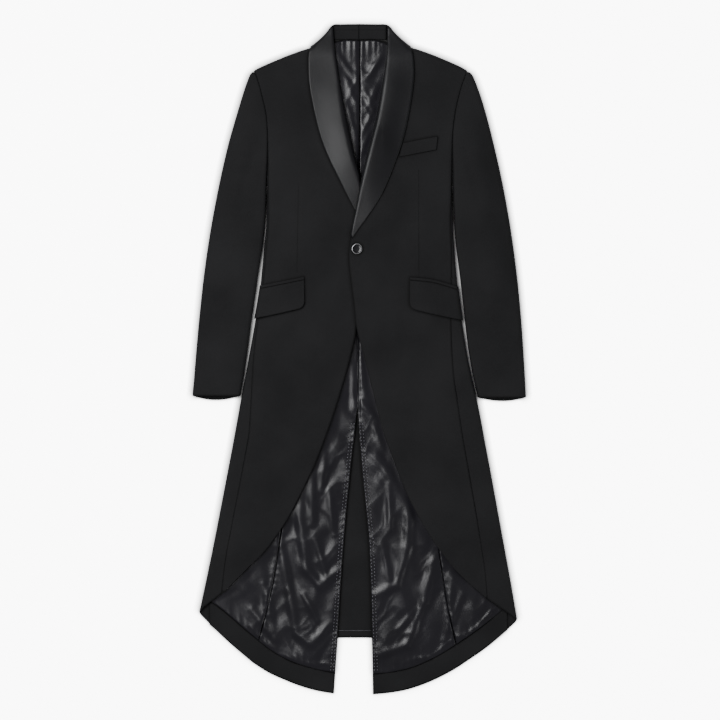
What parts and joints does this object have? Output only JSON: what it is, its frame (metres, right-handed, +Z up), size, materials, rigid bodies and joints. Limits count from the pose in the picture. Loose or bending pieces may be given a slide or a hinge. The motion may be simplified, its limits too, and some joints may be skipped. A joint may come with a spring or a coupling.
{
  "type": "tailcoat",
  "caption": "Black long-tailed evening coat laid flat, with a satin shawl collar, a front button, flap pockets, a cutaway front and satin-lined tails.",
  "frame": {"origin": "centre of the coat's bounding box, on the plane that it lies on", "axes": "+Y towards the collar along the coat's length, +X towards the wearer's left sleeve, +Z up out of the coat's front"},
  "size_m": [0.6664, 1.34, 0.0246],
  "materials": {
    "black_wool": "matte",
    "black_satin": "satin",
    "charcoal_lining": "satin",
    "silver_metal": "polished",
    "button_black": "gloss"
  },
  "bodies": {
    "root": {"back_right": "black_wool", "side_right": "black_wool", "front_right": "black_wool", "top_sleeve_upper_right": "black_wool", "top_sleeve_lower_right": "black_wool", "under_sleeve_right": "black_wool", "shawl_right": "black_satin", "collar_fall_right": "black_satin", "neck_stand_right": "black_wool", "lining_back_right": "charcoal_lining", "lining_side_right": "charcoal_lining", "hem_facing_right": "black_wool", "flap_right": "black_wool", "jet_right": "black_wool", "back_left": "black_wool", "side_left": "black_wool", "front_left": "black_wool", "top_sleeve_upper_left": "black_wool", "top_sleeve_lower_left": "black_wool", "under_sleeve_left": "black_wool", "shawl_left": "black_satin", "collar_fall_left": "black_satin", "neck_stand_left": "black_wool", "lining_back_left": "charcoal_lining", "lining_side_left": "charcoal_lining", "hem_facing_left": "black_wool", "flap_left": "black_wool", "jet_left": "black_wool", "vent_underlap": "black_wool", "breast_welt": "black_wool", "button_rim": "silver_metal", "button_face": "button_black"}
  },
  "joints": []
}
